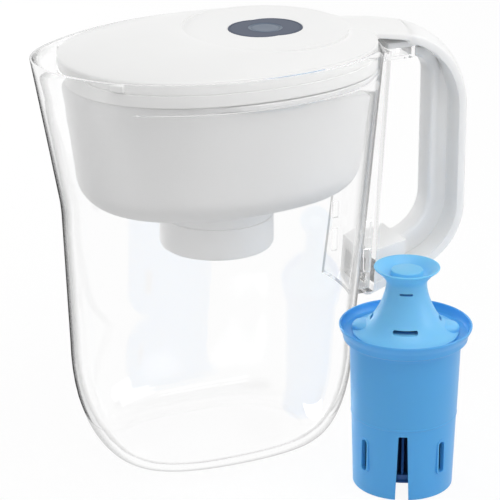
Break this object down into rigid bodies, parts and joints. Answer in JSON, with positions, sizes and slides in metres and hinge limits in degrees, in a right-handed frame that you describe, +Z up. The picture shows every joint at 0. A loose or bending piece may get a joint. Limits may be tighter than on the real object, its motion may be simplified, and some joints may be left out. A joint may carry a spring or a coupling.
{
  "type": "water filter pitcher",
  "caption": "Clear pitcher with a rear handle, a lift-out hopper, a domed lid with a filter life indicator and reset button, and a round filter cartridge beside it.",
  "frame": {"origin": "centre of the flat base on which the pitcher stands", "axes": "+X towards the handle, -X towards the spout, +Z up"},
  "size_m": [0.2647, 0.2042, 0.2482],
  "materials": {
    "clear_plastic": "clear, polished",
    "white_plastic": "satin gloss",
    "bezel_plastic": "satin",
    "slate_plastic": "translucent, polished",
    "grey_plastic": "plain moulded",
    "seal_rubber": "matt",
    "bright_steel": "plated",
    "board_laminate": "lacquered laminate",
    "black_plastic": "plain moulded",
    "clear_resin": "moulded resin",
    "contact_brass": "plated strip",
    "button_plastic": "satin",
    "blue_plastic": "translucent blue, satin",
    "filter_fabric": "pleated paper",
    "cap_plastic": "plain moulded",
    "screen_fabric": "fine mesh"
  },
  "bodies": {
    "pitcher": {"pitcher_body": "clear_plastic", "handle": "white_plastic"},
    "hopper": {"hopper": "white_plastic"},
    "lid": {"lid_shell": "white_plastic", "indicator_bezel": "bezel_plastic", "indicator_face": "slate_plastic", "indicator_housing": "grey_plastic", "housing_cover": "grey_plastic", "housing_gasket": "seal_rubber", "housing_screws": "bright_steel", "circuit_board": "board_laminate", "reset_switch": "black_plastic", "status_lights": "clear_resin", "coin_cell": "bright_steel", "battery_contacts": "contact_brass", "return_dome": "seal_rubber"},
    "button": {"reset_button": "button_plastic"},
    "filter": {"filter_housing": "blue_plastic", "filter_cap": "blue_plastic", "filter_media": "filter_fabric", "media_top_cap": "cap_plastic", "media_bottom_cap": "cap_plastic", "filter_core": "cap_plastic", "top_screen": "screen_fabric", "base_screen": "screen_fabric"}
  },
  "joints": [
    {"name": "hopper_lift", "type": "slide", "parent": "pitcher", "child": "hopper", "axis": [0, 0, 1], "range_m": [0, 0.13]},
    {"name": "lid_lift", "type": "slide", "parent": "hopper", "child": "lid", "axis": [0, 0, 1], "range_m": [0, 0.04]},
    {"name": "reset_press", "type": "slide", "parent": "lid", "child": "button", "axis": [0, 0, -1], "range_m": [0, 0.0008], "stiffness_N_per_m": 1500, "deforming": ["return_dome"]},
    {"name": "filter_lift", "type": "slide", "parent": "pitcher", "child": "filter", "axis": [0, 0, 1], "range_m": [0, 0.15]}
  ]
}
